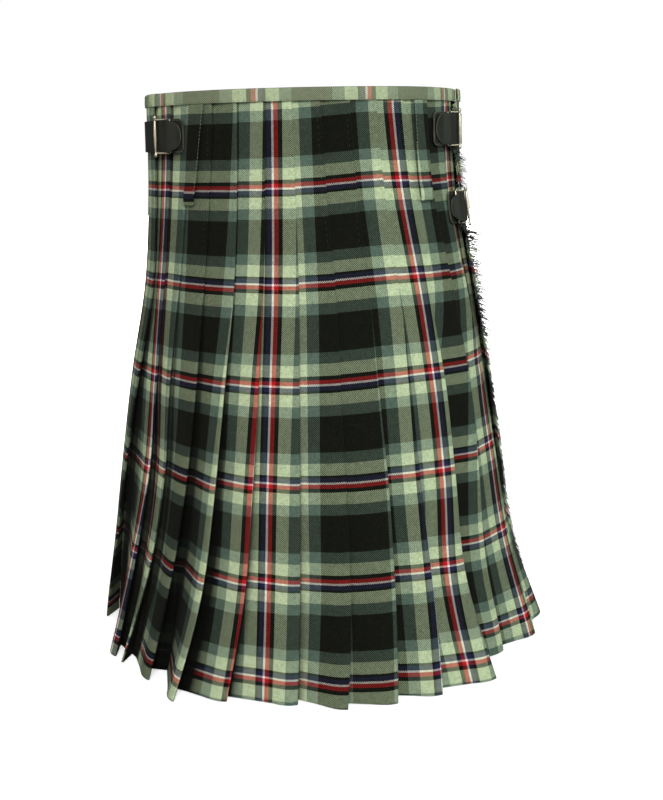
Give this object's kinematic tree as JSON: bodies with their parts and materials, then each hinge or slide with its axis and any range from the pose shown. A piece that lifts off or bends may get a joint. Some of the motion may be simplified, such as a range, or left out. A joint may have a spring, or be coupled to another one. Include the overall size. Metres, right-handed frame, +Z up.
{
  "type": "scottish kilt",
  "caption": "Knife-pleated wool tartan kilt with flat overlapping aprons, fringed edge, belt loops and leather strap-and-buckle fastenings, filled out as worn.",
  "frame": {"origin": "centre of the waist opening, level with its top edge, where a wearer's waist holds it", "axes": "+Z up out of the waist opening, -Y towards the pleated back, +Y towards the flat aprons, +X towards the wearer's right"},
  "size_m": [0.5241, 0.4331, 0.606],
  "materials": {
    "tartan_wool": "matte",
    "waistband_tartan": "matte",
    "fringe_threads": "matte",
    "black_leather": "satin",
    "nickel_plate": "polished"
  },
  "bodies": {
    "root": {"pleated_back": "tartan_wool", "over_apron": "tartan_wool", "under_apron": "tartan_wool", "belt_loop_left": "tartan_wool", "belt_loop_right": "tartan_wool", "waistband": "waistband_tartan", "fringe": "fringe_threads", "buckle_tab_left": "black_leather", "buckle_tab_right_waist": "black_leather", "buckle_tab_right_hip": "black_leather", "strap_left": "black_leather", "strap_right_waist": "black_leather", "strap_right_hip": "black_leather", "buckle_left": "nickel_plate", "buckle_right_waist": "nickel_plate", "buckle_right_hip": "nickel_plate"}
  },
  "joints": []
}
